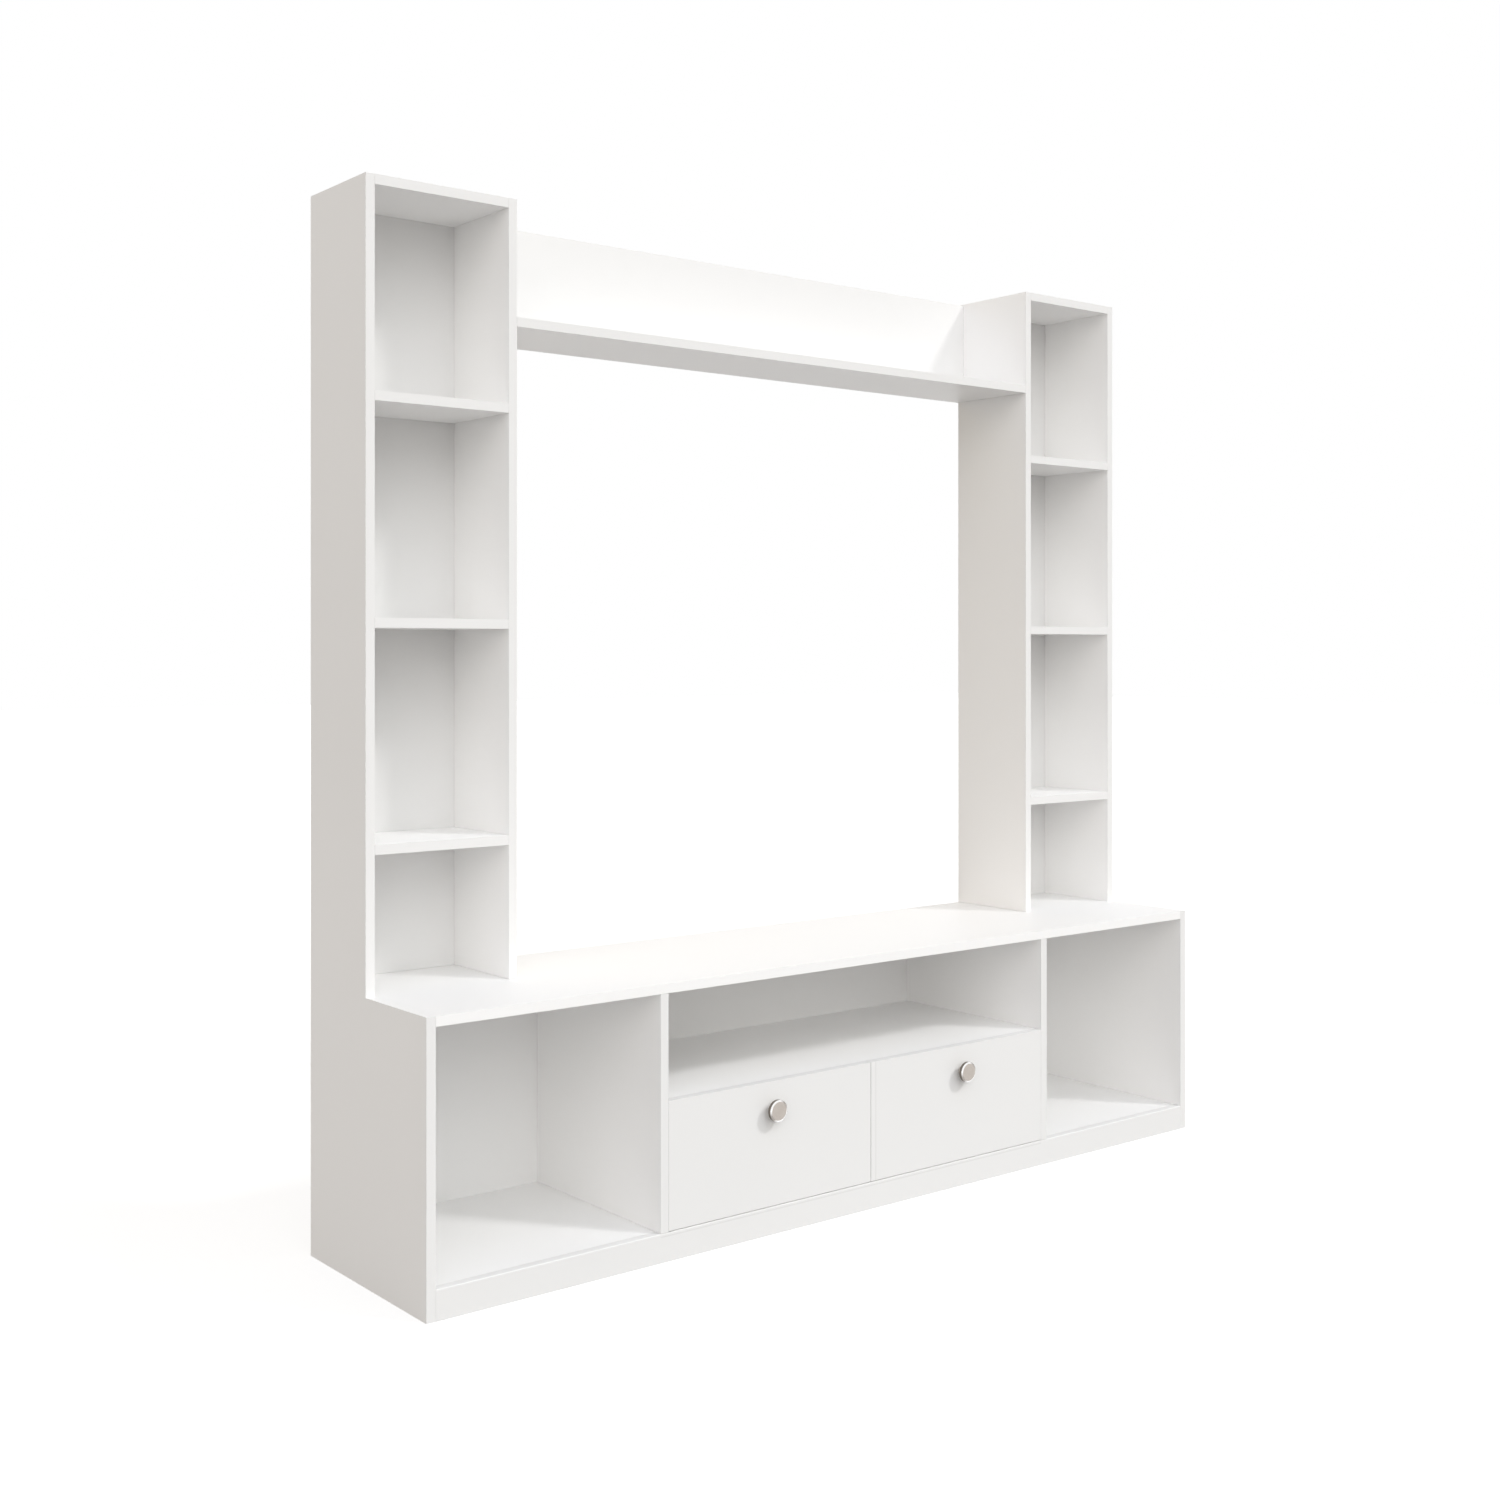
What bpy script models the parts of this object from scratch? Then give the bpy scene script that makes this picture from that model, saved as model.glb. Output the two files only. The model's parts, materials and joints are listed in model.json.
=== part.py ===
"""Television wall unit: a low cabinet with two drawers, two open shelf towers and a bridge shelf.

The unit stands on the floor at Z = 0 and faces -Y. X runs from left to right as seen from the front.
The origin is on the floor, in the middle of the overall width and of the overall depth with the knobs.
All sizes are in metres. A wooden dowel is glued into the end of its board and is one solid with it.
"""

import math

import bmesh
import bpy
from mathutils import Matrix, Vector

# Boards, gaps and cutters
BOARD = 0.016
GAP = 0.0003
OVERRUN = 0.002
BLIND_WALL = 0.0055

# Base cabinet
BASE_DEPTH = 0.397
BASE_HEIGHT = 0.459
SIDE_BAY_WIDTH = 0.416
NICHE_WIDTH = 0.904
NICHE_FLOOR_HEIGHT = 0.265
PLINTH_HEIGHT = 0.032
PLINTH_REAR_INSET = 0.030
PLINTH_ROUNDING = 0.002
ROUNDING_STEPS = 4

# Towers and bridge
TOWER_WIDTH = 0.278
TOWER_DEPTH = 0.199
LOW_BAY_HEIGHT = 0.225
MIDDLE_BAY_HEIGHT = 0.3453
TOP_BAY_HEIGHT = 0.3274
BRIDGE_DROP = 0.197
BRIDGE_BACK_DROP = 0.003

# Back panels and the grooves that hold them
BACK_PANEL = 0.003
BACK_INSET = 0.013
GROOVE_WEB = 0.004

# Drawers
FRONT_MIDDLE_GAP = 0.0015
FRONT_SIDE_GAP = 0.0005
FRONT_FOOT_GAP = 0.0015
DRAWER_HOLD = 0.110
DRAWER_REAR_CLEARANCE = 0.015
DRAWER_LIFT = 0.012
DRAWER_HEADROOM = 0.013
DRAWER_SIDE_PLAY = 0.0015
DRAWER_BOTTOM = 0.003
DRAWER_BOTTOM_RISE = 0.010

# Strips that the drawers run on, with their moulded pins, and the pegs that stop the drawers
STRIP_HEIGHT = 0.012
STRIP_FRONT_INSET = 0.004
STRIP_REAR_INSET = 0.026
STRIP_PIN_INSET = 0.045
STRIP_PIN_RADIUS = 0.0025
STRIP_PIN_WALL = 0.001
STOP_RADIUS = 0.004
STOP_PIN_RADIUS = 0.0025
STOP_HANG = 0.020

# Knobs
KNOB_REACH = 0.020
KNOB_RADIUS = 0.019
KNOB_DROP = 0.048
KNOB_OUTWARD = 0.005
KNOB_HEAD = 0.008
KNOB_BEVEL = 0.0032
KNOB_BACK_ROUND = 0.0015
KNOB_NECK_RADIUS = 0.0065
KNOB_FOOT_RADIUS = 0.0085
KNOB_FOOT = 0.0015
KNOB_FLARE = 0.004
KNOB_THREAD_DEPTH = 0.008
KNOB_SIDES = 40

# Screws that hold the knobs
KNOB_SCREW_RADIUS = 0.002
KNOB_SCREW_HEAD_RADIUS = 0.0038
KNOB_SCREW_HEAD = 0.0024
KNOB_SCREW_TIP_CLEARANCE = 0.001

# Cam locks and their bolts
LOCK_RADIUS = 0.0075
LOCK_DISTANCE = 0.024
LOCK_SIDES = 16
BOLT_RADIUS = 0.0025
BOLT_HEAD_RADIUS = 0.0033
BOLT_HEAD = 0.005
BOLT_PAST_LOCK = 0.001

# Dowels
DOWEL_RADIUS = 0.004
ROUND_SIDES = 8

# Countersunk screws from the base into the towers
SCREW_RADIUS = 0.0025
SCREW_HEAD_RADIUS = 0.0045
SCREW_HEAD = 0.004
SCREW_BITE = 0.034
SCREW_TIP = 0.004

# Distances from the edges of a board to its fittings
FRONT_FITTING = 0.050
REAR_FITTING = 0.055
LOCK_FITTING = 0.120
TOWER_FRONT_FITTING = 0.045
BRIDGE_FRONT_FITTING = 0.070
BRIDGE_REAR_FITTING = 0.080
BRIDGE_END_FITTING = 0.150
PLINTH_END_FITTING = 0.150
PLINTH_INNER_FITTING = 0.080
DRAWER_EDGE_FITTING = 0.035

# Sizes that follow from others
face_bite = BOARD - BLIND_WALL
groove_depth = (BOARD - GROOVE_WEB) / 2
strip_bite = BOARD / 2
half_niche = NICHE_WIDTH / 2
half_width = half_niche + BOARD + SIDE_BAY_WIDTH + BOARD
side_inner = half_width - BOARD
divider_outer = side_inner - SIDE_BAY_WIDTH
tower_inner = half_width - TOWER_WIDTH

# Planes from front to rear
rear = (BASE_DEPTH + KNOB_REACH) / 2
front = rear - BASE_DEPTH
front_rear = front + BOARD
back_face = rear - BACK_INSET - BACK_PANEL
back_groove = (back_face - GAP, back_face + BACK_PANEL + GAP)
rail_rear = rear - PLINTH_REAR_INSET
tower_front = rear - TOWER_DEPTH
fitting_front = front + FRONT_FITTING
fitting_rear = rear - REAR_FITTING
tower_fitting = tower_front + TOWER_FRONT_FITTING
box_rear = back_face - DRAWER_REAR_CLEARANCE

# Heights
floor_top = PLINTH_HEIGHT + BOARD
base_ceiling = BASE_HEIGHT - BOARD
drawer_ceiling = NICHE_FLOOR_HEIGHT - BOARD
low_shelf = BASE_HEIGHT + LOW_BAY_HEIGHT
middle_shelf = low_shelf + BOARD + MIDDLE_BAY_HEIGHT
high_shelf = middle_shelf + BOARD + MIDDLE_BAY_HEIGHT
tower_ceiling = high_shelf + BOARD + TOP_BAY_HEIGHT
unit_height = tower_ceiling + BOARD
bridge_top = unit_height - BRIDGE_DROP
box_low = floor_top + DRAWER_LIFT
box_high = drawer_ceiling - DRAWER_HEADROOM
strip_height = (box_low + box_high) / 2
knob_height = NICHE_FLOOR_HEIGHT - KNOB_DROP

# Lines across a drawer
front_inner = FRONT_MIDDLE_GAP / 2
front_outer = half_niche - FRONT_SIDE_GAP
knob_across = (front_inner + front_outer) / 2 + KNOB_OUTWARD

SIDES = ((-1, "left"), (1, "right"))
UP = Vector((0, 0, 1))
DOWN = -UP
BACK = Vector((0, 1, 0))
FORWARD = -BACK

# Surface of each kind of piece: colour, roughness, metallic
FINISHES = {
    "melamine": ((0.84, 0.84, 0.83), 0.45, 0.0),
    "hardboard": ((0.82, 0.82, 0.81), 0.55, 0.0),
    "nickel": ((0.62, 0.58, 0.54), 0.28, 1.0),
    "steel": ((0.56, 0.57, 0.58), 0.35, 1.0),
    "plastic": ((0.80, 0.80, 0.79), 0.50, 0.0),
}


def clear_scene():
    """Empties the scene."""
    for item in list(bpy.data.objects):
        bpy.data.objects.remove(item, do_unlink=True)


def across(side, near, far):
    """Two X planes given on the right half, mirrored for the left, the lower one first."""
    return sorted((side * near, side * far))


def add_box(mesh, x_range, y_range, z_range):
    """Adds a closed box."""
    ranges = (x_range, y_range, z_range)
    middle = Vector([(low + high) / 2 for low, high in ranges])
    size = Vector([high - low for low, high in ranges])
    bmesh.ops.create_cube(mesh, size=1, matrix=Matrix.Translation(middle) @ Matrix.Diagonal(size).to_4x4())


def add_slab(mesh, x_range, outline):
    """Adds a closed slab across X from an outline of (y, z) points."""
    low, high = x_range
    face = mesh.faces.new([mesh.verts.new((low, y, z)) for y, z in outline])
    grown = bmesh.ops.extrude_face_region(mesh, geom=[face])["geom"]
    moved = [part for part in grown if isinstance(part, bmesh.types.BMVert)]
    bmesh.ops.translate(mesh, verts=moved, vec=(high - low, 0, 0))
    bmesh.ops.recalc_face_normals(mesh, faces=mesh.faces)


def add_turned(mesh, point, axis, stations, sides=ROUND_SIDES):
    """Adds a closed turned body: stations are (distance from the point along the axis, radius)."""
    turn = Vector(axis).to_track_quat("X", "Z").to_matrix()
    places = [Vector(point) + turn @ Vector((along, radius, 0)) for along, radius in stations]
    outline = [mesh.verts.new(place) for place in places]
    edges = [mesh.edges.new(pair) for pair in zip(outline, outline[1:])]
    bmesh.ops.spin(mesh, geom=outline + edges, cent=point, axis=axis, angle=math.tau, steps=sides,
                   use_merge=True)
    bmesh.ops.holes_fill(mesh, edges=[edge for edge in mesh.edges if edge.is_boundary])


def add_lock(mesh, point, along, mouth):
    """Adds a cam lock: a drum with a closed top and a slot from its rim for the head of the bolt."""
    frame = Matrix((along, mouth.cross(along), mouth)).transposed()
    slot = BOLT_HEAD_RADIUS + 2 * GAP
    opening = math.asin(slot / LOCK_RADIUS)
    reach = LOCK_RADIUS * math.cos(opening)
    steps = LOCK_SIDES - 1
    angles = [opening - math.pi + step * (math.tau - 2 * opening) / steps for step in range(LOCK_SIDES)]
    rim = [(LOCK_RADIUS * math.cos(angle), LOCK_RADIUS * math.sin(angle)) for angle in angles]
    rim[0] = (-reach, -slot)
    rim[-1] = (-reach, slot)
    end = ((slot, slot), (slot, -slot))
    foot, ceiling, top = GAP - BOARD / 4, slot, BOARD / 2 - GAP

    def level(outline, height):
        places = [Vector(point) + frame @ Vector((x, y, height)) for x, y in outline]
        return [mesh.verts.new(place) for place in places]

    rim_foot, end_foot = level(rim, foot), level(end, foot)
    rim_top, end_ceiling = level(rim, top), level(end, ceiling)
    first, last = level((rim[0], rim[-1]), ceiling)
    mesh.faces.new(list(reversed(rim_foot + end_foot)))
    mesh.faces.new(rim_top)
    for step in range(1, steps - 1):
        mesh.faces.new((rim_foot[step], rim_foot[step + 1], rim_top[step + 1], rim_top[step]))
    mesh.faces.new((rim_foot[0], rim_foot[1], rim_top[1], rim_top[0], first))
    mesh.faces.new((rim_foot[-2], rim_foot[-1], last, rim_top[-1], rim_top[-2]))
    mesh.faces.new((rim_foot[-1], end_foot[0], end_ceiling[0], last))
    mesh.faces.new((end_foot[0], end_foot[1], end_ceiling[1], end_ceiling[0]))
    mesh.faces.new((end_foot[1], rim_foot[0], first, end_ceiling[1]))
    mesh.faces.new((last, end_ceiling[0], end_ceiling[1], first))
    mesh.faces.new((first, rim_top[0], rim_top[-1], last))


class Piece:
    """One named piece: its solid, what is joined to it, and its wide and its narrow recesses."""

    made = {}

    def __init__(self, name, finish, mover=None):
        self.name = name
        self.finish = finish
        self.mover = mover
        self.solid = bmesh.new()
        self.joined = bmesh.new()
        self.wide = bmesh.new()
        self.narrow = bmesh.new()
        Piece.made[name] = self


def board(name, x_range, y_range, z_range, finish="melamine", mover=None):
    """A flat board."""
    piece = Piece(name, finish, mover)
    add_box(piece.solid, x_range, y_range, z_range)
    return piece


def turned(name, finish, point, axis, stations, sides=ROUND_SIDES, mover=None):
    """A turned piece."""
    piece = Piece(name, finish, mover)
    add_turned(piece.solid, point, axis, stations, sides)
    return piece


def dowel_joint(holder, panel, point, along):
    """A dowel glued into the panel's end, which enters the holder against the given direction."""
    add_turned(panel.joined, point, along, ((-face_bite, DOWEL_RADIUS), (OVERRUN, DOWEL_RADIUS)))
    bore = DOWEL_RADIUS + GAP
    add_turned(holder.narrow, point, along, ((-face_bite - GAP, bore), (OVERRUN, bore)))


def lock_joint(label, holder, panel, point, along, mouth):
    """A bolt in the holder's face, drawn in by a cam lock set in the panel's mouth face."""
    centre = Vector(point) + along * LOCK_DISTANCE
    add_lock(Piece(f"{label}_cam_lock", "steel").solid, centre, along, mouth)
    lock_bore = LOCK_RADIUS + GAP
    add_turned(panel.wide, centre, mouth, ((-BOARD / 4, lock_bore), (BOARD / 2 + OVERRUN, lock_bore)),
               LOCK_SIDES)
    tip = LOCK_DISTANCE + BOLT_PAST_LOCK
    neck = tip - BOLT_HEAD
    turned(f"{label}_bolt", "steel", point, along, (
        (-face_bite, BOLT_RADIUS), (neck, BOLT_RADIUS), (neck, BOLT_HEAD_RADIUS), (tip, BOLT_HEAD_RADIUS)))
    thread = BOLT_RADIUS + GAP
    add_turned(holder.narrow, point, along, ((-face_bite - GAP, thread), (OVERRUN, thread)))
    channel = BOLT_HEAD_RADIUS + GAP
    add_turned(panel.narrow, point, along, ((-OVERRUN, channel), (LOCK_DISTANCE, channel)))


def screw_joint(name, holder, panel, point, along):
    """A countersunk screw through the holder, head flush with its far face, into the panel."""
    head, shank = SCREW_HEAD_RADIUS, SCREW_RADIUS
    neck = SCREW_HEAD - BOARD
    turned(name, "steel", point, along, (
        (-BOARD, head), (neck, shank), (SCREW_BITE - SCREW_TIP, shank), (SCREW_BITE, shank / 2)))
    hole = ((-BOARD - OVERRUN, head + GAP), (GAP - BOARD, head + GAP), (GAP + neck, shank + GAP),
            (SCREW_BITE + GAP, shank + GAP))
    for cut_piece in (holder, panel):
        add_turned(cut_piece.narrow, point, along, hole)


def end_side(side, name):
    """An end of the unit: one L-shaped board, deep along the base and narrow along the tower."""
    outline = ((front, 0), (rear, 0), (rear, unit_height), (tower_front, unit_height),
               (tower_front, BASE_HEIGHT), (front, BASE_HEIGHT))
    piece = Piece(f"{name}_side", "melamine")
    add_slab(piece.solid, across(side, side_inner, half_width), outline)
    add_box(piece.wide, across(side, side_inner - OVERRUN, side_inner + groove_depth), back_groove,
            (-OVERRUN, tower_ceiling + groove_depth))


def base_carcass():
    """Top, bottom, dividers, niche shelf, partition and back panels of the base."""
    depth = (front, rear)
    between = (GAP - side_inner, side_inner - GAP)
    top = board("base_top", between, depth, (base_ceiling, BASE_HEIGHT))
    bottom = board("base_bottom", between, (front_rear + GAP, rear), (PLINTH_HEIGHT, floor_top))
    whole = (-side_inner, side_inner)
    add_box(top.wide, whole, back_groove, (base_ceiling - OVERRUN, base_ceiling + groove_depth))
    add_box(bottom.wide, whole, back_groove, (floor_top - groove_depth, floor_top + OVERRUN))
    back_y = (back_face, back_face + BACK_PANEL)
    back_z = (floor_top - groove_depth + GAP, base_ceiling + groove_depth - GAP)
    for side, name in SIDES:
        divider = board(f"{name}_divider", across(side, half_niche, divider_outer), depth,
                        (floor_top + GAP, base_ceiling - GAP))
        for near, far in ((divider_outer - groove_depth, side_inner), (0, half_niche + groove_depth)):
            add_box(divider.wide, across(side, near, far), back_groove, (0, BASE_HEIGHT))
        bay = across(side, divider_outer - groove_depth + GAP, side_inner + groove_depth - GAP)
        board(f"base_{name}_back", bay, back_y, back_z, "hardboard")
    reach = half_niche + groove_depth - GAP
    board("base_centre_back", (-reach, reach), back_y, back_z, "hardboard")
    inside = (front_rear + GAP, back_face - GAP)
    board("niche_shelf", (GAP - half_niche, half_niche - GAP), inside, (drawer_ceiling, NICHE_FLOOR_HEIGHT))
    board("drawer_partition", (-BOARD / 2, BOARD / 2), inside, (floor_top + GAP, drawer_ceiling - GAP))


def base_joints():
    """Dowels that hold the base together, and the cam locks of its top."""
    made = Piece.made
    bottom, top, shelf = made["base_bottom"], made["base_top"], made["niche_shelf"]
    partition = made["drawer_partition"]
    for side, name in SIDES:
        inward = Vector((-side, 0, 0))
        outer, divider = made[f"{name}_side"], made[f"{name}_divider"]
        divider_middle = side * (half_niche + BOARD / 2)
        lock_place = (side * side_inner, front + LOCK_FITTING, BASE_HEIGHT - BOARD / 2)
        lock_joint(f"base_{name}", outer, top, lock_place, inward, DOWN)
        for y in (fitting_front, fitting_rear):
            dowel_joint(outer, top, (side * side_inner, y, BASE_HEIGHT - BOARD / 2), inward)
            dowel_joint(outer, bottom, (side * side_inner, y, floor_top - BOARD / 2), inward)
            dowel_joint(divider, shelf, (side * half_niche, y, NICHE_FLOOR_HEIGHT - BOARD / 2), inward)
            dowel_joint(top, divider, (divider_middle, y, base_ceiling), DOWN)
            dowel_joint(bottom, divider, (divider_middle, y, floor_top), UP)
    for y in (fitting_front, fitting_rear):
        dowel_joint(shelf, partition, (0, y, drawer_ceiling), DOWN)
        dowel_joint(bottom, partition, (0, y, floor_top), UP)


def plinth():
    """The front rail before the bottom board, the rear rail under it, and the braces between them."""
    made = Piece.made
    bottom = made["base_bottom"]
    height = (0, PLINTH_HEIGHT - GAP)
    middle = PLINTH_HEIGHT / 2
    length = (GAP - side_inner, side_inner - GAP)
    outline = [(front, 0), (front_rear, 0), (front_rear, floor_top)]
    for step in range(ROUNDING_STEPS + 1):
        turn = math.pi / 2 * step / ROUNDING_STEPS
        outline.append((front + PLINTH_ROUNDING * (1 - math.sin(turn)),
                        floor_top - PLINTH_ROUNDING * (1 - math.cos(turn))))
    front_rail = Piece("plinth_front", "melamine", None)
    add_slab(front_rail.solid, length, outline)
    rear_rail = board("plinth_rear", length, (rail_rear - BOARD, rail_rear), height)
    rail_ends = side_inner - PLINTH_END_FITTING
    for x in (-rail_ends, -PLINTH_INNER_FITTING, PLINTH_INNER_FITTING, rail_ends):
        dowel_joint(front_rail, bottom, (x, front_rear, floor_top - BOARD / 2), BACK)
        dowel_joint(bottom, rear_rail, (x, rail_rear - BOARD / 2, PLINTH_HEIGHT), DOWN)
    for rail, y in ((front_rail, front + BOARD / 2), (rear_rail, rail_rear - BOARD / 2)):
        for side, name in SIDES:
            dowel_joint(made[f"{name}_side"], rail, (side * side_inner, y, middle), Vector((-side, 0, 0)))
    beside = half_niche - BOARD
    for brace_name, x in (("left", -beside), ("middle", 0), ("right", beside)):
        brace = board(f"plinth_{brace_name}_brace", (x - BOARD / 2, x + BOARD / 2),
                      (front_rear + GAP, rail_rear - BOARD - GAP), height)
        dowel_joint(made["plinth_front"], brace, (x, front_rear, middle), BACK)
        dowel_joint(made["plinth_rear"], brace, (x, rail_rear - BOARD, middle), FORWARD)


def tower(side, name):
    """One open tower beside its end board: inner side, top, three shelves and a back panel."""
    label = f"{name}_tower"
    depth = (tower_front, rear)
    near, far = tower_inner + BOARD, side_inner
    outer = Piece.made[f"{name}_side"]
    inner = board(f"{label}_inner_side", across(side, tower_inner, near), depth,
                  (BASE_HEIGHT + GAP, unit_height))
    inside = across(side, near + GAP, far - GAP)
    top = board(f"{label}_top", inside, depth, (tower_ceiling, unit_height))
    levels = [(top, tower_ceiling)]
    for level, height in (("lower", low_shelf), ("middle", middle_shelf), ("upper", high_shelf)):
        shelf = board(f"{label}_{level}_shelf", inside, (tower_front, back_face - GAP),
                      (height, height + BOARD))
        levels.append((shelf, height))
    for panel, height in levels:
        middle = height + BOARD / 2
        for y in (tower_fitting, fitting_rear):
            dowel_joint(outer, panel, (side * far, y, middle), Vector((-side, 0, 0)))
            dowel_joint(inner, panel, (side * near, y, middle), Vector((side, 0, 0)))
    groove_top = tower_ceiling + groove_depth
    back_reach = across(side, near - groove_depth + GAP, far + groove_depth - GAP)
    board(f"{label}_back", back_reach, (back_face, back_face + BACK_PANEL),
          (BASE_HEIGHT + GAP, groove_top - GAP), "hardboard")
    add_box(inner.wide, across(side, near - groove_depth, near + OVERRUN), back_groove,
            (base_ceiling, groove_top))
    add_box(top.wide, across(side, near - OVERRUN, far + OVERRUN), back_groove,
            (tower_ceiling - OVERRUN, groove_top))
    foot = (side * (tower_inner + BOARD / 2), tower_fitting, BASE_HEIGHT)
    base_top = Piece.made["base_top"]
    dowel_joint(base_top, inner, (foot[0], fitting_rear, BASE_HEIGHT), UP)
    screw_joint(f"{label}_screw", base_top, inner, foot, UP)


def bridge():
    """The shelf that joins the towers, and the board that stands on its rear edge."""
    made = Piece.made
    between = (GAP - tower_inner, tower_inner - GAP)
    back_high = unit_height - BRIDGE_BACK_DROP
    shelf = board("bridge_shelf", between, (tower_front, rear), (bridge_top - BOARD, bridge_top))
    back = board("bridge_back", between, (rear - BOARD, rear), (bridge_top + GAP, back_high))
    back_middle = rear - BOARD / 2
    lock_y, dowel_y = tower_front + BRIDGE_FRONT_FITTING, rear - BRIDGE_REAR_FITTING
    for side, name in SIDES:
        upright = made[f"{name}_tower_inner_side"]
        inward = Vector((-side, 0, 0))
        plane, middle = side * tower_inner, bridge_top - BOARD / 2
        lock_joint(f"bridge_{name}", upright, shelf, (plane, lock_y, middle), inward, UP)
        dowel_joint(upright, shelf, (plane, dowel_y, middle), inward)
        dowel_joint(upright, back, (plane, back_middle, (bridge_top + back_high) / 2), inward)
    ends = tower_inner - BRIDGE_END_FITTING
    for x in (-ends, 0, ends):
        dowel_joint(shelf, back, (x, back_middle, bridge_top), UP)


def runner_strip(name, plane, outward, wall):
    """A strip that a drawer runs on, with two moulded pins pressed into the wall."""
    y_range = (front_rear + STRIP_FRONT_INSET, back_face - STRIP_REAR_INSET)
    face = DRAWER_SIDE_PLAY + strip_bite
    x_range = sorted((plane + outward * GAP, plane + outward * face))
    strip = board(name, x_range, y_range,
                  (strip_height - STRIP_HEIGHT / 2, strip_height + STRIP_HEIGHT / 2), "plastic")
    bite = BOARD / 2 - STRIP_PIN_WALL
    bore = STRIP_PIN_RADIUS + GAP
    for y in (y_range[0] + STRIP_PIN_INSET, y_range[1] - STRIP_PIN_INSET):
        place, along = (plane, y, strip_height), Vector((outward, 0, 0))
        add_turned(strip.joined, place, along, ((-bite, STRIP_PIN_RADIUS), (OVERRUN, STRIP_PIN_RADIUS)))
        add_turned(wall.narrow, place, along, ((-bite - GAP, bore), (OVERRUN, bore)))


def drawer_housing(side, name):
    """The two strips that one drawer runs on, and the peg that stops it when it is pulled out."""
    made = Piece.made
    runner_strip(f"{name}_outer_runner", side * half_niche, -side, made[f"{name}_divider"])
    runner_strip(f"{name}_inner_runner", side * BOARD / 2, side, made["drawer_partition"])
    place = (side * knob_across, front_rear + DRAWER_HOLD - BOARD - GAP - STOP_RADIUS, drawer_ceiling)
    turned(f"{name}_drawer_stop", "plastic", place, UP, (
        (-STOP_HANG, STOP_RADIUS), (-GAP, STOP_RADIUS), (-GAP, STOP_PIN_RADIUS),
        (face_bite, STOP_PIN_RADIUS)))
    bore = STOP_PIN_RADIUS + GAP
    add_turned(made["niche_shelf"].narrow, place, UP, ((-OVERRUN, bore), (face_bite + GAP, bore)))


def knob(side, mover, front_board):
    """A turned knob on a narrow neck, with the screw that holds it from inside the drawer."""
    centre = (side * knob_across, front, knob_height)
    bore = KNOB_SCREW_RADIUS + GAP
    head_start = KNOB_REACH - KNOB_HEAD
    turned(f"{mover}_knob", "nickel", centre, FORWARD, (
        (KNOB_THREAD_DEPTH, bore),
        (GAP, bore),
        (GAP, KNOB_FOOT_RADIUS),
        (KNOB_FOOT, KNOB_FOOT_RADIUS),
        (KNOB_FLARE, KNOB_NECK_RADIUS),
        (head_start, KNOB_NECK_RADIUS),
        (head_start, KNOB_RADIUS - KNOB_BACK_ROUND),
        (head_start + KNOB_BACK_ROUND, KNOB_RADIUS),
        (KNOB_REACH - KNOB_BEVEL, KNOB_RADIUS),
        (KNOB_REACH, KNOB_RADIUS - KNOB_BEVEL),
    ), KNOB_SIDES, mover)
    head = -BOARD - GAP
    turned(f"{mover}_knob_screw", "steel", centre, FORWARD, (
        (head - KNOB_SCREW_HEAD, KNOB_SCREW_HEAD_RADIUS),
        (head, KNOB_SCREW_HEAD_RADIUS),
        (head, KNOB_SCREW_RADIUS),
        (KNOB_THREAD_DEPTH - KNOB_SCREW_TIP_CLEARANCE, KNOB_SCREW_RADIUS),
    ), mover=mover)
    add_turned(front_board.narrow, centre, FORWARD, ((-BOARD - OVERRUN, bore), (OVERRUN, bore)))


def drawer(side, name):
    """One drawer: front, two sides, back, bottom and knob."""
    mover = f"{name}_drawer"
    walls = (BOARD / 2 + DRAWER_SIDE_PLAY, half_niche - DRAWER_SIDE_PLAY)
    faces = (walls[0] + BOARD, walls[1] - BOARD)
    depth, height = (front_rear + GAP, box_rear), (box_low, box_high)
    bottom_low = box_low + DRAWER_BOTTOM_RISE
    bottom_high = bottom_low + DRAWER_BOTTOM
    front_board = board(f"{mover}_front", across(side, front_inner, front_outer), (front, front_rear),
                        (floor_top + FRONT_FOOT_GAP, NICHE_FLOOR_HEIGHT), mover=mover)
    back_board = board(f"{mover}_back", across(side, faces[0] + GAP, faces[1] - GAP),
                       (box_rear - BOARD, box_rear), (bottom_high + GAP, box_high), mover=mover)
    board(f"{mover}_bottom", across(side, faces[0] - groove_depth + GAP, faces[1] + groove_depth - GAP),
          (front_rear - groove_depth + GAP, box_rear), (bottom_low, bottom_high), "hardboard", mover)
    slot_x = across(side, faces[0] - groove_depth, faces[1] + groove_depth)
    slot_y = (front_rear - groove_depth, box_rear + OVERRUN)
    slot_z = (bottom_low - GAP, bottom_high + GAP)
    add_box(front_board.wide, slot_x, slot_y, slot_z)
    runner_y = (front_rear - OVERRUN, box_rear + OVERRUN)
    runner_half = STRIP_HEIGHT / 2 + GAP
    runner_z = (strip_height - runner_half, strip_height + runner_half)
    for label, wall, face, inward in (("inner", walls[0], faces[0], 1), ("outer", walls[1], faces[1], -1)):
        panel = board(f"{mover}_{label}_side", across(side, wall, face), depth, height, mover=mover)
        add_box(panel.wide, slot_x, slot_y, slot_z)
        bottom_of_groove = wall + inward * (strip_bite + GAP)
        add_box(panel.wide, across(side, wall - inward * OVERRUN, bottom_of_groove), runner_y, runner_z)
        towards = Vector((side * inward, 0, 0))
        for z in (box_low + DRAWER_EDGE_FITTING, box_high - DRAWER_EDGE_FITTING):
            dowel_joint(front_board, panel, (side * (wall + face) / 2, front_rear, z), BACK)
            dowel_joint(panel, back_board, (side * face, box_rear - BOARD / 2, z), towards)
    knob(side, mover, front_board)


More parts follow.
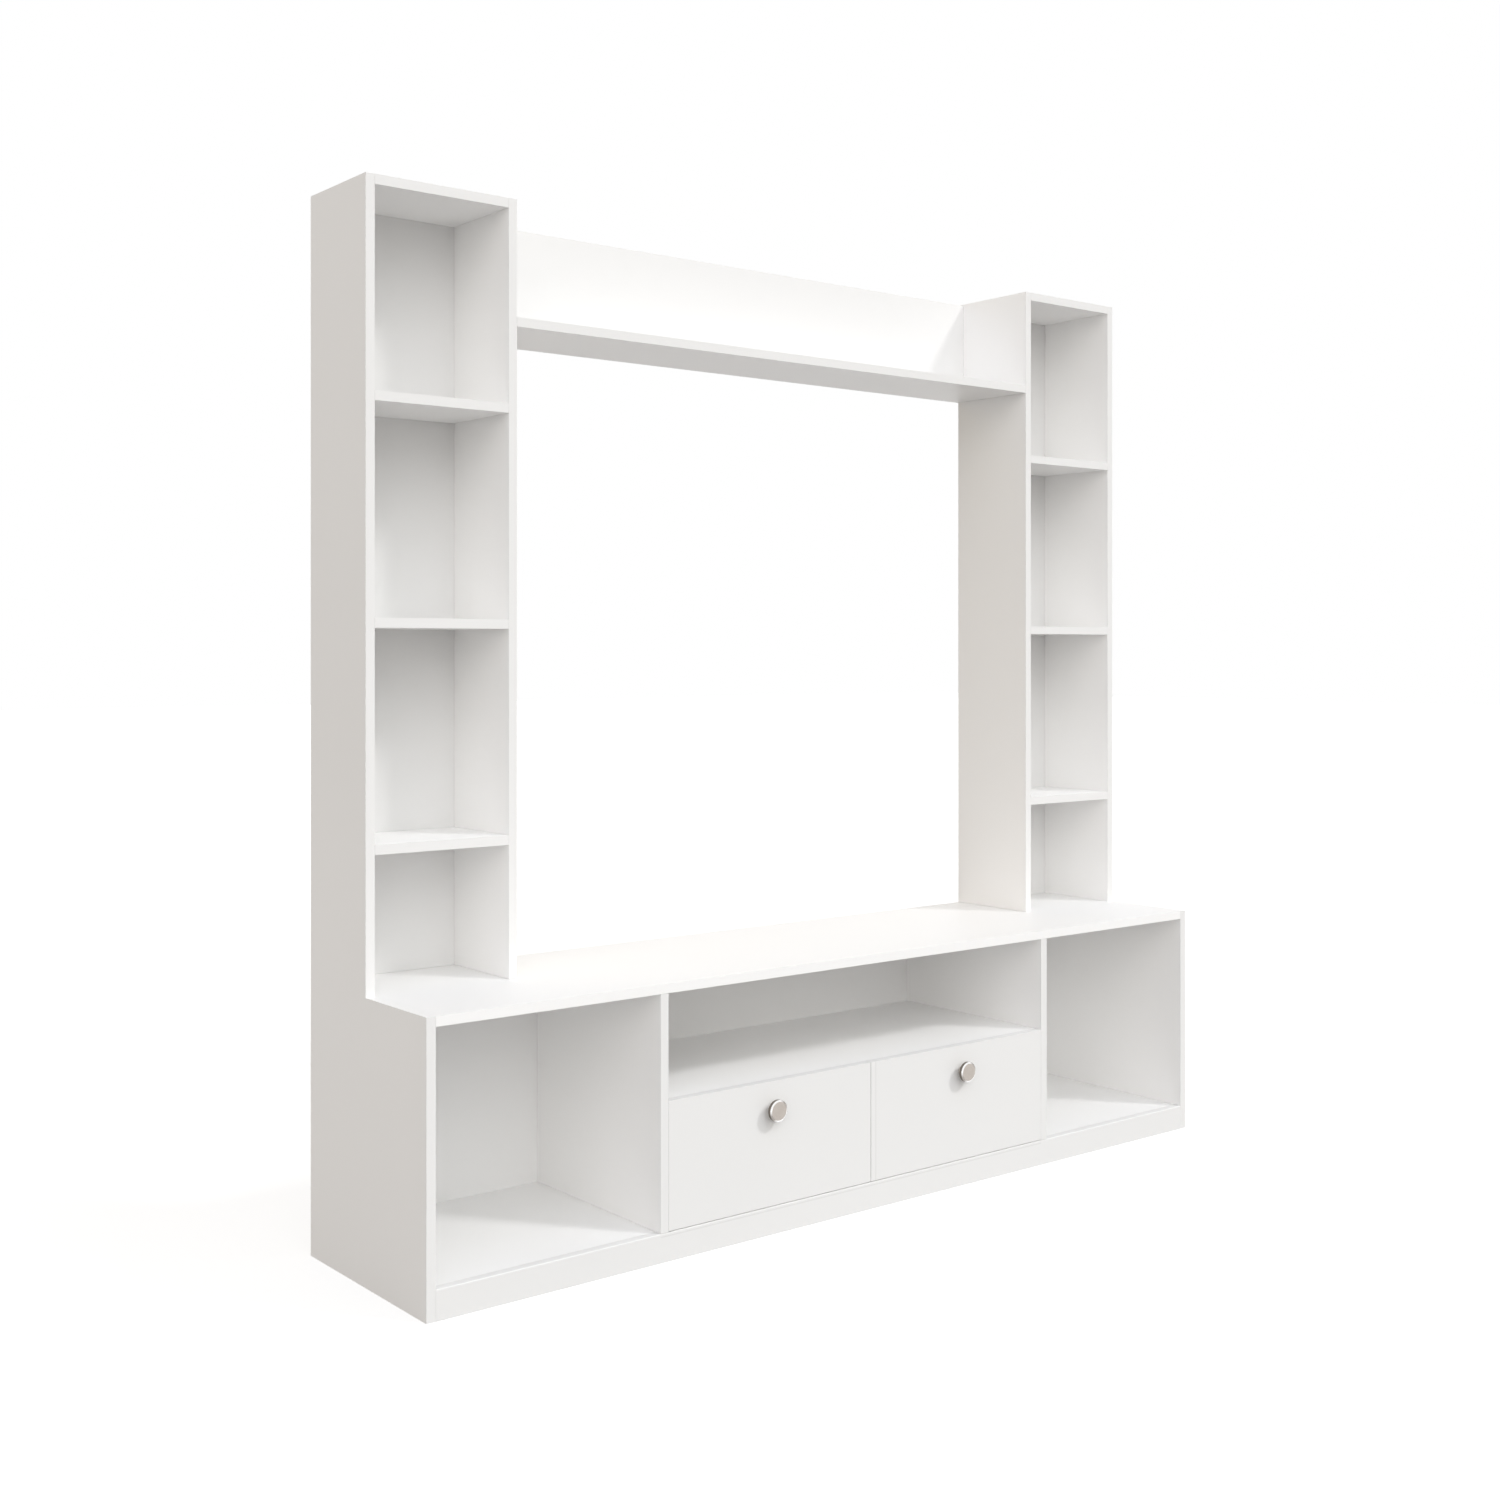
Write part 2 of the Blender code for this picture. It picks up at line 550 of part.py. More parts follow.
def surface(name, finish):
    """The surface of one piece."""
    colour, roughness, metallic = FINISHES[finish]
    material = bpy.data.materials.new(name)
    material.use_nodes = True
    shader = material.node_tree.nodes["Principled BSDF"]
    shader.inputs["Base Color"].default_value = (*colour, 1.0)
    shader.inputs["Roughness"].default_value = roughness
    shader.inputs["Metallic"].default_value = metallic
    return material


def new_object(name, mesh):
    """An object in the scene, from a working mesh with its faces turned outwards."""
    bmesh.ops.recalc_face_normals(mesh, faces=mesh.faces)
    data = bpy.data.meshes.new(name)
    mesh.to_mesh(data)
    mesh.free()
    item = bpy.data.objects.new(name, data)
    bpy.context.scene.collection.objects.link(item)
    return item


def combine(item, tool_mesh, operation):
    """Joins a working mesh to an object, or cuts it out, for good."""
    if not tool_mesh.faces:
        tool_mesh.free()
        return
    tool = new_object(f"{item.name}_tool", tool_mesh)
    modifier = item.modifiers.new("tool", "BOOLEAN")
    modifier.operation = operation
    modifier.solver = "EXACT"
    modifier.object = tool
    evaluated = item.evaluated_get(bpy.context.evaluated_depsgraph_get())
    data = bpy.data.meshes.new_from_object(evaluated)
    item.modifiers.clear()
    item.data = data
    bpy.data.objects.remove(tool, do_unlink=True)


def middle_of(mesh):
    """The middle of a mesh's bounding box."""
    spans = [[vertex.co[axis] for vertex in mesh.vertices] for axis in range(3)]
    return Vector([(min(span) + max(span)) / 2 for span in spans])


def finish_piece(piece, movers):
    """Joins and cuts a piece, gives it its surface, its origin at its middle and its parent."""
    item = new_object(piece.name, piece.solid)
    combine(item, piece.joined, "UNION")
    combine(item, piece.wide, "DIFFERENCE")
    combine(item, piece.narrow, "DIFFERENCE")
    mesh = item.data
    mesh.name = piece.name
    mesh.shade_smooth()
    mesh.set_sharp_from_angle(angle=math.radians(35))
    mesh.materials.clear()
    mesh.materials.append(surface(piece.name, piece.finish))
    middle = middle_of(mesh)
    mesh.transform(Matrix.Translation(-middle))
    item.location = middle
    if piece.mover:
        item.parent = movers[piece.mover]
        item.matrix_parent_inverse = Matrix.Translation(-item.parent.location)


def drawer_axis(side, name):
    """The empty on a drawer's line of travel, through the middle of its knob."""
    axis = bpy.data.objects.new(f"{name}_drawer", None)
    axis.location = (side * knob_across, front, knob_height)
    bpy.context.scene.collection.objects.link(axis)
    return axis


def build():
    """Lays out every piece with its joints, then makes the objects."""
    clear_scene()
    for side, name in SIDES:
        end_side(side, name)
    base_carcass()
    base_joints()
    plinth()
    for side, name in SIDES:
        tower(side, name)
    bridge()
    for side, name in SIDES:
        drawer_housing(side, name)
        drawer(side, name)
    movers = {f"{name}_drawer": drawer_axis(side, name) for side, name in SIDES}
    for piece in Piece.made.values():
        finish_piece(piece, movers)


build()
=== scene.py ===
"""Looks of the television wall unit: white boards, turned knobs, fittings, floor, light and camera."""
import json
import math

import bmesh
import bpy
from mathutils import Matrix, Vector


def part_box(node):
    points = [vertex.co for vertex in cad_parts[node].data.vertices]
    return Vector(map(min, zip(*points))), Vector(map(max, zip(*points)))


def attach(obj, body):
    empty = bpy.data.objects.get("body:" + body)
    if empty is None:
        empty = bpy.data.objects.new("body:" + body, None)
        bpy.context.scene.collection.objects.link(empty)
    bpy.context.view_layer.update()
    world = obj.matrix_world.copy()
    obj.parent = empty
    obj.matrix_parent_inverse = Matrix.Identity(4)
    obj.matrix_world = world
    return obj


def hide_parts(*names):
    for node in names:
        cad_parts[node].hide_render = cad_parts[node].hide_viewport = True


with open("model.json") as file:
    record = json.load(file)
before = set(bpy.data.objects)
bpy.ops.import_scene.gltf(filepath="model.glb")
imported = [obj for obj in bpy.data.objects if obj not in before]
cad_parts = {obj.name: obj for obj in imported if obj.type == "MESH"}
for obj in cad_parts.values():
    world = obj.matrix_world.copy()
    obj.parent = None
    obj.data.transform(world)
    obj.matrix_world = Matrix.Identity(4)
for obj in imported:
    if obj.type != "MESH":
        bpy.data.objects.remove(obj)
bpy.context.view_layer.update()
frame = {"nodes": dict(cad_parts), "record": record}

# Planes of the unit that the surfaces refer to, in metres
FRONT = -0.1885
TOWER_FRONT = 0.0095
REAR = 0.2085
UNIT_HALF = 0.9
UNIT_HEIGHT = 1.766
BASE_HEIGHT = 0.459
BOARD = 0.016
FLOOR_TOP = 0.048
NICHE_HALF = 0.452
NICHE_FLOOR = 0.265

# How far from a plane a board may begin and still count as flush with it
NEAR = 0.001

# Softened edges: the boards that meet flush keep theirs nearly sharp, so that their joints hardly show
ARRIS = 0.0005
CRISP_ARRIS = 0.00015
ARRIS_SEGMENTS = 2
ARRIS_ANGLE = 50
CRISP = ("plinth_front", "base_bottom", "left_side", "right_side", "left_divider", "right_divider",
         "left_drawer_front", "right_drawer_front")

# Whites: the share of light that a board's face, a laid board, a front or edge band, and a panel return. The
# laid boards are whiter, as painted light on boards that lie flat and face up; the fronts and edge bands are
# greyer, as painted shade on what faces forward; the panels are greyer still, as painted shade at the backs
# of the recesses, most in the towers.
FACE_WHITE = 0.957
LIT_LAID_WHITE = 0.975
SHADED_FRONT_WHITE = 0.850
SHADED_BASE_PANEL_WHITE = 0.885
SHADED_TOWER_PANEL_WHITE = 0.815
WHITE_SPAN = 0.006
WARMTH = (0.0, 0.005, 0.012)
SHADED_FRONT_BOARDS = ("left_drawer_front", "right_drawer_front", "plinth_front", "bridge_back")
LIT_LAID_BOARDS = ("base_bottom", "niche_shelf") + tuple(
    f"{side}_tower_{board}" for side in ("left", "right")
    for board in ("top", "upper_shelf", "middle_shelf", "lower_shelf"))

# A noise is (cells a metre, detail, roughness), and most of its values lie in this span
# A bump is (depth in metres, strength)
NOISE_SPAN = (0.3, 0.7)

# Melamine
MELAMINE_CLOUD = (2.3, 3.0, 0.55)
PEARL = (1500.0, 2.0, 0.6)
SOFT = (420.0, 1.0, 0.5)
PEARL_SHARE = 0.6
SPECK_SPAN = (0.62, 0.74)
SPECK_SHARE = 0.35
SPECK_DROP = 0.03
MELAMINE_ROUGHNESS = (0.38, 0.48)
MELAMINE_BUMP = (0.00003, 0.6)

# Edge band: its thickness, and the seam behind it
BAND = 0.0009
SEAM_HALF = 0.0001
SEAM_BLUR = 0.00008
SEAM_SHARE = 0.5
SEAM_TONE = (0.50, 0.485, 0.46)

# Faint darker lines under the drawer fronts and beside the gap between them, and along the plinth's foot,
# where the line is a painted shadow against the floor
FAINT_LINE_DROP = 0.0055
FAINT_LINE_ASIDE = 0.012
FAINT_LINE_HALF = 0.0010
FAINT_LINE_BLUR = 0.0016
FAINT_LINE_SHARE = 0.17
FAINT_LINE_TONE = (0.40, 0.385, 0.37)

# Lacquered hardboard
PANEL_CLOUD = (3.1, 3.0, 0.55)
FIBRE = (640.0, 3.0, 0.6)
FIBRE_STRETCH = (1.0, 1.0, 0.35)
FIBRE_SPAN = (0.58, 0.72)
FIBRE_SHARE = 0.3
FIBRE_DROP = 0.035
PANEL_ROUGHNESS = (0.42, 0.54)
PANEL_BUMP = (0.00004, 0.5)

# Zinc plate
ZINC_CLOUD = (260.0, 2.0, 0.5)
ZINC_MARKS = (2600.0, 3.0, 0.7)
ZINC_TONES = ((0.52, 0.53, 0.55), (0.62, 0.62, 0.62))
ZINC_ROUGHNESS = (0.26, 0.42)
ZINC_BUMP = (0.00003, 0.5)

# Moulded plastic
PLASTIC_CLOUD = (30.0, 2.0, 0.5)
PLASTIC_GRAIN = (1800.0, 2.0, 0.5)
PLASTIC_TONES = ((0.78, 0.78, 0.77), (0.82, 0.82, 0.81))
PLASTIC_ROUGHNESS = (0.44, 0.56)
PLASTIC_BUMP = (0.00004, 0.5)

# Nickel: satin on the knob's face, neck and foot, polished on its rim and side wall. The rim's colour is a
# painted reflection, lightest at its upper left and lower right; the side wall's colour is painted dark, as a
# reflection of shade.
RINGS = (5200.0, 4.0, 0.65)
BROAD_RINGS = (700.0, 2.0, 0.5)
BROAD_RING_SHARE = 0.6
SATIN_CLOUD = (160.0, 2.0, 0.5)
SATIN_SPAN = (0.35, 0.65)
SATIN_TONES = ((0.505, 0.460, 0.420), (0.560, 0.514, 0.472))
SATIN_ROUGHNESS = (0.30, 0.40)
SATIN_BUMP = (0.000015, 0.5)
SMEAR = (900.0, 3.0, 0.6)
SMEAR_BUMP = (0.00001, 0.3)
PAINTED_GLINT_LEAN = (0.6, 0.8)
PAINTED_GLINT_SPAN = (0.25, 0.70)
PAINTED_DULL_RIM = (0.40, 0.37, 0.345)
PAINTED_GLINT_TONES = ((0.95, 0.945, 0.94), (0.99, 0.985, 0.98))
BRIGHT_ROUGHNESS = (0.07, 0.13)
PAINTED_DARK_TONES = ((0.17, 0.15, 0.13), (0.24, 0.215, 0.19))
DARK_ROUGHNESS = (0.10, 0.18)

# Knob: lengths along its axis start at the drawer's front
KNOB_REACH = 0.020
KNOB_RADIUS = 0.019
KNOB_HEAD = 0.008
KNOB_ROUNDING = 0.0016
KNOB_ROUNDING_TURN = (180, 90)
KNOB_ROUNDING_STEPS = 5
KNOB_RIM = 0.0027
KNOB_RIM_DEPTH = 0.0013
KNOB_SOFTENING = 0.0001
KNOB_FACE_LOOP = 0.004
KNOB_NECK = 0.0065
KNOB_NECK_START = 0.0035
KNOB_WAIST = 0.0009
KNOB_NECK_STEPS = 8
KNOB_FOOT = 0.0085
KNOB_FOOT_BACK = 0.0003
KNOB_FOOT_SIDE = 0.0012
KNOB_FOOT_TOP = 0.0015
KNOB_FOOT_CHAMFER = 0.0003
KNOB_SIDES = 96
SATIN, PAINTED_GLINT_RIM, PAINTED_DARK_SIDE = range(3)

# Surround: a lobe (direction, sharpness, level) brightens it towards its direction
SKY_LOBES = (
    ((0.0, 0.0, 1.0), 1, (0.15, 0.10, 0.08)),
    ((0.0, 0.0, 1.0), 4, (0.19, 0.34, 0.56)),
    ((-0.68, -0.68, 0.27), 6, (2.00, 1.93, 1.86)),
    ((0.0, -0.80, 0.60), 6, (1.51, 1.58, 1.59)),
    ((1.0, 0.0, 0.0), 1, (0.49, 0.44, 0.34)),
    ((0.0, 1.0, 0.0), 1, (0.82, 0.70, 0.48)),
)

# Key lamp: its level is that on a white surface, and its spread is in degrees
KEY_FROM = (0.455, -0.60, 0.66)
KEY_LEVEL = 0.305
KEY_SPREAD = 8.0

# Floor: its tone, the tone that throws light back up, and the lift that fades it to white with distance
FLOOR_HALF = 30.0
FLOOR_CELLS = 8
FLOOR_GRAIN = (60.0, 3.0, 0.5)
FLOOR_TONE = (0.28, 0.275, 0.27)
FLOOR_SPAN = 0.02
FLOOR_BOUNCE = (0.335, 0.33, 0.325)
FLOOR_LIFT = 0.775
FADE_FROM = 1.2
FADE_TO = 6.0

# Camera: its place, its level tilt and its turn in degrees, and its lens and sensor in millimetres
CAMERA_PLACE = (-2.2197, -2.6166, 1.0055)
CAMERA_TILT = 90.0
CAMERA_TURN = -38.83
CAMERA_LENS = 43.59
CAMERA_SENSOR = 36.0
CAMERA_SHIFT = (-0.00437, -0.0649)
CAMERA_FAR = 100.0


class Nodes:
    """Makes the node tree of one material, or of the world."""

    def __init__(self, name, holder=None):
        self.material = holder or bpy.data.materials.new(name)
        self.material.use_nodes = True
        self.tree = self.material.node_tree
        self.tree.nodes.clear()
        self.place = self.add("ShaderNodeTexCoord").outputs["Generated" if holder else "Object"]

    def add(self, kind, inputs=(), **settings):
        node = self.tree.nodes.new(kind)
        for key, value in settings.items():
            setattr(node, key, value)
        for key, value in dict(inputs).items():
            self.put(node.inputs[key], value)
        return node

    def put(self, socket, value):
        if isinstance(value, bpy.types.NodeSocket):
            self.tree.links.new(value, socket)
        else:
            socket.default_value = value

    def maths(self, operation, first, second=0.0):
        return self.add("ShaderNodeMath", {0: first, 1: second}, operation=operation).outputs[0]

    def vectors(self, operation, first, second):
        return self.add("ShaderNodeVectorMath", {0: first, 1: second}, operation=operation).outputs

    def average(self, first, second, share):
        """The first value by its share, and the second by the rest."""
        return self.maths("ADD", self.maths("MULTIPLY", first, share),
                          self.maths("MULTIPLY", second, 1.0 - share))

    def noise(self, kind, vector=None):
        inputs = {"Vector": vector or self.place, "Scale": kind[0], "Detail": kind[1], "Roughness": kind[2]}
        return self.add("ShaderNodeTexNoise", inputs).outputs["Fac"]

    def ramp(self, value, span, result=(0.0, 1.0)):
        inputs = {"Value": value, "From Min": span[0], "From Max": span[1],
                  "To Min": result[0], "To Max": result[1]}
        return self.add("ShaderNodeMapRange", inputs).outputs["Result"]

    def blend(self, factor, first, second):
        node = self.add("ShaderNodeMix", data_type="RGBA")
        sockets = [socket for socket in node.inputs if socket.enabled]
        for socket, value in zip(sockets, (factor, first, second)):
            self.put(socket, value)
        return next(socket for socket in node.outputs if socket.enabled)

    def bump(self, height, bump):
        inputs = {"Height": height, "Distance": bump[0], "Strength": bump[1]}
        return self.add("ShaderNodeBump", inputs).outputs["Normal"]

    def finish(self, **sockets):
        inputs = {key.replace("_", " "): value for key, value in sockets.items()}
        shader = self.add("ShaderNodeBsdfPrincipled", inputs)
        self.tree.nodes.active = self.add("ShaderNodeOutputMaterial", {"Surface": shader.outputs[0]})
        return self.material


def colour(red, green, blue):
    return (red, green, blue, 1.0)


def white(level):
    """A white with the boards' slight warmth."""
    return colour(*[level - share for share in WARMTH])


def clouded(nodes, cloud, level):
    """A white that is faintly uneven over the whole board, as the noise of its cloud."""
    cloud = nodes.ramp(nodes.noise(cloud), NOISE_SPAN)
    return nodes.blend(cloud, white(level - WHITE_SPAN), white(level + WHITE_SPAN))


def band_shade_mask(nodes, bands):
    """1 on the edge bands at a board's front, 0 elsewhere. A band is (rear plane, lowest height)."""
    parts = nodes.add("ShaderNodeSeparateXYZ", {0: nodes.place}).outputs
    total = 0.0
    for plane, floor in bands:
        within = nodes.maths("MULTIPLY", nodes.maths("LESS_THAN", parts["Y"], plane),
                             nodes.maths("GREATER_THAN", parts["Z"], floor))
        total = nodes.maths("MAXIMUM", within, total)
    return total


def line_mask(nodes, lines, half, blur):
    """1 on the given lines, 0 elsewhere. A line is (axis, plane, axis it runs along, from, to)."""
    parts = nodes.add("ShaderNodeSeparateXYZ", {0: nodes.place}).outputs
    total = 0.0
    for axis, plane, along, low, high in lines:
        away = nodes.maths("ABSOLUTE", nodes.maths("SUBTRACT", parts[axis], plane))
        line = nodes.ramp(away, (half - blur / 2, half + blur / 2), (1.0, 0.0))
        within = nodes.maths("MULTIPLY", nodes.maths("GREATER_THAN", parts[along], low),
                             nodes.maths("LESS_THAN", parts[along], high))
        total = nodes.maths("MAXIMUM", nodes.maths("MULTIPLY", line, within), total)
    return total


def melamine(name, level, bands=(), seams=(), faint_lines=()):
    """White melamine on board: a fine pearled face, faint unevenness, and the seam of its edge band. Its
    front edge bands are greyer as painted shade, and the faint lines it is given are darker.
    """
    nodes = Nodes(name)
    pearl = nodes.noise(PEARL)
    soft = nodes.noise(SOFT)
    base = clouded(nodes, MELAMINE_CLOUD, level)
    if bands:
        # The front edge bands take the greyer front white: painted shade on the edges that face forward.
        front = clouded(nodes, MELAMINE_CLOUD, SHADED_FRONT_WHITE)
        base = nodes.blend(band_shade_mask(nodes, bands), base, front)
    speck = nodes.ramp(pearl, SPECK_SPAN, (0.0, SPECK_SHARE))
    base = nodes.blend(speck, base, white(level - SPECK_DROP))
    height = nodes.average(pearl, soft, PEARL_SHARE)
    if seams:
        mask = line_mask(nodes, seams, SEAM_HALF, SEAM_BLUR)
        base = nodes.blend(nodes.maths("MULTIPLY", mask, SEAM_SHARE), base, colour(*SEAM_TONE))
        height = nodes.maths("SUBTRACT", height, mask)
    # Faint darker lines; the one at the plinth's foot is a painted shadow
    if faint_lines:
        mask = line_mask(nodes, faint_lines, FAINT_LINE_HALF, FAINT_LINE_BLUR)
        base = nodes.blend(nodes.maths("MULTIPLY", mask, FAINT_LINE_SHARE), base, colour(*FAINT_LINE_TONE))
    return nodes.finish(
        Base_Color=base,
        Roughness=nodes.ramp(soft, NOISE_SPAN, MELAMINE_ROUGHNESS),
        Normal=nodes.bump(height, MELAMINE_BUMP),
    )


def panel_white(name, level):
    """White lacquered hardboard: smoother, with a faint fibre print."""
    nodes = Nodes(name)
    stretched = nodes.add("ShaderNodeMapping", {"Vector": nodes.place, "Scale": FIBRE_STRETCH}).outputs[0]
    fibre = nodes.noise(FIBRE, stretched)
    base = clouded(nodes, PANEL_CLOUD, level)
    base = nodes.blend(nodes.ramp(fibre, FIBRE_SPAN, (0.0, FIBRE_SHARE)), base, white(level - FIBRE_DROP))
    return nodes.finish(
        Base_Color=base,
        Roughness=nodes.ramp(fibre, NOISE_SPAN, PANEL_ROUGHNESS),
        Normal=nodes.bump(fibre, PANEL_BUMP),
    )


def zinc(name):
    """Bright zinc plate with fine tumbling marks."""
    nodes = Nodes(name)
    marks = nodes.noise(ZINC_MARKS)
    cloud = nodes.ramp(nodes.noise(ZINC_CLOUD), NOISE_SPAN)
    return nodes.finish(
        Base_Color=nodes.blend(cloud, *[colour(*tone) for tone in ZINC_TONES]),
        Metallic=1.0,
        Roughness=nodes.ramp(marks, NOISE_SPAN, ZINC_ROUGHNESS),
        Normal=nodes.bump(marks, ZINC_BUMP),
    )


def moulded(name):
    """White moulded plastic with a fine spark-eroded skin."""
    nodes = Nodes(name)
    grain = nodes.noise(PLASTIC_GRAIN)
    return nodes.finish(
        Base_Color=nodes.blend(nodes.noise(PLASTIC_CLOUD), *[colour(*tone) for tone in PLASTIC_TONES]),
        Roughness=nodes.ramp(grain, NOISE_SPAN, PLASTIC_ROUGHNESS),
        Normal=nodes.bump(grain, PLASTIC_BUMP),
    )


def knob_parts(nodes, centre):
    """The place across and up from the knob's axis, and the distance from it."""
    shifted = nodes.vectors("SUBTRACT", nodes.place, centre)[0]
    parts = nodes.add("ShaderNodeSeparateXYZ", {0: shifted}).outputs
    radius = nodes.maths("SQRT", nodes.maths("ADD", nodes.maths("MULTIPLY", parts["X"], parts["X"]),
                                             nodes.maths("MULTIPLY", parts["Z"], parts["Z"])))
    return parts["X"], parts["Z"], radius


def satin_nickel(name, centre):
    """Satin nickel, turned: fine rings round the knob's axis."""
    nodes = Nodes(name)
    radius = knob_parts(nodes, centre)[2]
    ring = nodes.add("ShaderNodeCombineXYZ", {"X": radius}).outputs[0]
    rings = nodes.noise(RINGS, ring)
    cloud = nodes.average(nodes.noise(BROAD_RINGS, ring), nodes.noise(SATIN_CLOUD), BROAD_RING_SHARE)
    return nodes.finish(
        Base_Color=nodes.blend(nodes.ramp(cloud, SATIN_SPAN), *[colour(*tone) for tone in SATIN_TONES]),
        Metallic=1.0,
        Roughness=nodes.ramp(rings, NOISE_SPAN, SATIN_ROUGHNESS),
        Normal=nodes.bump(rings, SATIN_BUMP),
    )


def rim_nickel_painted_glint(name, centre):
    """The polished rim round the knob's face, its colour a painted reflection: lightest at its upper left and
    lower right.
    """
    nodes = Nodes(name)
    across, up, radius = knob_parts(nodes, centre)
    # Painted reflection: the rim's colour is lightest along the line from upper left to lower right, and dull
    # across it.
    lean = nodes.maths("ADD", nodes.maths("MULTIPLY", across, -PAINTED_GLINT_LEAN[0]),
                       nodes.maths("MULTIPLY", up, PAINTED_GLINT_LEAN[1]))
    turned = nodes.maths("ABSOLUTE", nodes.maths("DIVIDE", lean, radius))
    smear = nodes.noise(SMEAR)
    painted_glint = nodes.blend(smear, *[colour(*tone) for tone in PAINTED_GLINT_TONES])
    return nodes.finish(
        Base_Color=nodes.blend(nodes.ramp(turned, PAINTED_GLINT_SPAN), colour(*PAINTED_DULL_RIM), painted_glint),
        Metallic=1.0,
        Roughness=nodes.ramp(smear, NOISE_SPAN, BRIGHT_ROUGHNESS),
        Normal=nodes.bump(smear, SMEAR_BUMP),
    )


def nickel_painted_dark(name):
    """The polished side wall of the knob, its colour painted dark as a reflection of shade."""
    nodes = Nodes(name)
    smear = nodes.noise(SMEAR)
    return nodes.finish(
        # Its colour is painted dark, as a reflection of shade.
        Base_Color=nodes.blend(smear, *[colour(*tone) for tone in PAINTED_DARK_TONES]),
        Metallic=1.0,
        Roughness=nodes.ramp(smear, NOISE_SPAN, DARK_ROUGHNESS),
        Normal=nodes.bump(smear, SMEAR_BUMP),
    )


def arc(centre, radius, turn, steps):
    """Points (along, radius) of a rounding in a turned profile, between the two angles of its turn."""
    start, end = turn
    points = []
    for step in range(steps + 1):
        angle = math.radians(start + (end - start) * step / steps)
        points.append((centre[0] + radius * math.cos(angle), centre[1] + radius * math.sin(angle)))
    return points


def turned_mesh(name, stations, sides):
    """A mesh turned round -Y from stations (along, radius, material), its foot at the origin."""
    mesh = bmesh.new()
    turns = [math.tau * step / sides for step in range(sides)]
    rings = []
    for along, radius, _ in stations:
        ring = turns if radius else turns[:1]
        rings.append([mesh.verts.new((radius * math.cos(turn), -along, radius * math.sin(turn)))
                      for turn in ring])
    for (first, second), (_, _, index) in zip(zip(rings, rings[1:]), stations):
        for step in range(sides):
            after = (step + 1) % sides
            corners = {}
            for ring, place in ((first, step), (first, after), (second, after), (second, step)):
                corners.setdefault(ring[place % len(ring)])
            mesh.faces.new(list(corners)).material_index = index
    bmesh.ops.recalc_face_normals(mesh, faces=mesh.faces)
    data = bpy.data.meshes.new(name)
    mesh.to_mesh(data)
    mesh.free()
    data.shade_smooth()
    return data


def knob_stations():
    """The knob's profile from its foot to the middle of its face."""
    head = KNOB_REACH - KNOB_HEAD
    stations = [(KNOB_FOOT_BACK, 0.0, SATIN), (KNOB_FOOT_BACK, KNOB_FOOT, SATIN),
                (KNOB_FOOT_SIDE, KNOB_FOOT, SATIN), (KNOB_FOOT_TOP, KNOB_FOOT - KNOB_FOOT_CHAMFER, SATIN)]
    for step in range(KNOB_NECK_STEPS + 1):
        part = step / KNOB_NECK_STEPS
        waist = KNOB_NECK - KNOB_WAIST * math.sin(math.pi * part)
        stations.append((KNOB_NECK_START + (head - KNOB_NECK_START) * part, waist, SATIN))
    corner = KNOB_RADIUS - KNOB_ROUNDING
    rounding = arc((head + KNOB_ROUNDING, corner), KNOB_ROUNDING, KNOB_ROUNDING_TURN, KNOB_ROUNDING_STEPS)
    stations += [(along, radius, PAINTED_DARK_SIDE) for along, radius in rounding]
    edge = KNOB_REACH - KNOB_RIM_DEPTH
    flat = KNOB_RADIUS - KNOB_RIM
    soft = KNOB_SOFTENING
    stations += [(edge - 5 * soft, KNOB_RADIUS, PAINTED_DARK_SIDE), (edge - soft, KNOB_RADIUS - soft, PAINTED_GLINT_RIM),
                 (edge + soft, KNOB_RADIUS - 4 * soft, PAINTED_GLINT_RIM),
                 (KNOB_REACH - 2 * soft, flat + 3 * soft, PAINTED_GLINT_RIM), (KNOB_REACH - soft, flat, PAINTED_GLINT_RIM),
                 (KNOB_REACH, flat - 4 * soft, SATIN), (KNOB_REACH, flat - KNOB_FACE_LOOP, SATIN),
                 (KNOB_REACH, 0.0, SATIN)]
    return stations


def add_knob(body):
    """The turned knob in place of its plain solid, with a waisted neck and a foot."""
    low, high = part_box(f"{body}_knob")
    centre = Vector(((low.x + high.x) / 2, FRONT, (low.z + high.z) / 2))
    data = turned_mesh(f"{body}_turned_knob", knob_stations(), KNOB_SIDES)
    data.materials.append(satin_nickel(f"{body}_satin", tuple(centre)))
    data.materials.append(rim_nickel_painted_glint(f"{body}_bright", tuple(centre)))
    data.materials.append(nickel_painted_dark(f"{body}_dark"))
    data.transform(Matrix.Translation(centre))
    piece = bpy.data.objects.new(f"{body}_turned_knob", data)
    bpy.context.scene.collection.objects.link(piece)
    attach(piece, body)
    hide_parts(f"{body}_knob")


def board_seams(node):
    """Where the edge band of a board shows its seam: (axis, plane, axis it runs along, from, to)."""
    low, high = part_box(node)
    if node in ("left_side", "right_side"):
        return (("Y", FRONT + BAND, "Z", 0.0, BASE_HEIGHT),
                ("Z", BASE_HEIGHT - BAND, "Y", FRONT, TOWER_FRONT),
                ("Y", TOWER_FRONT + BAND, "Z", BASE_HEIGHT, UNIT_HEIGHT),
                ("Z", UNIT_HEIGHT - BAND, "Y", TOWER_FRONT, REAR))
    if node.endswith("_drawer_front"):
        return (("Z", high.z - BAND, "Y", FRONT, REAR), ("Z", low.z + BAND, "Y", FRONT, REAR))
    if node != "plinth_front" and low.y < FRONT + NEAR:
        return (("Y", FRONT + BAND, "Z", 0.0, BASE_HEIGHT),)
    if abs(low.y - TOWER_FRONT) < NEAR:
        return (("Y", TOWER_FRONT + BAND, "Z", BASE_HEIGHT - BOARD, UNIT_HEIGHT),)
    return ()


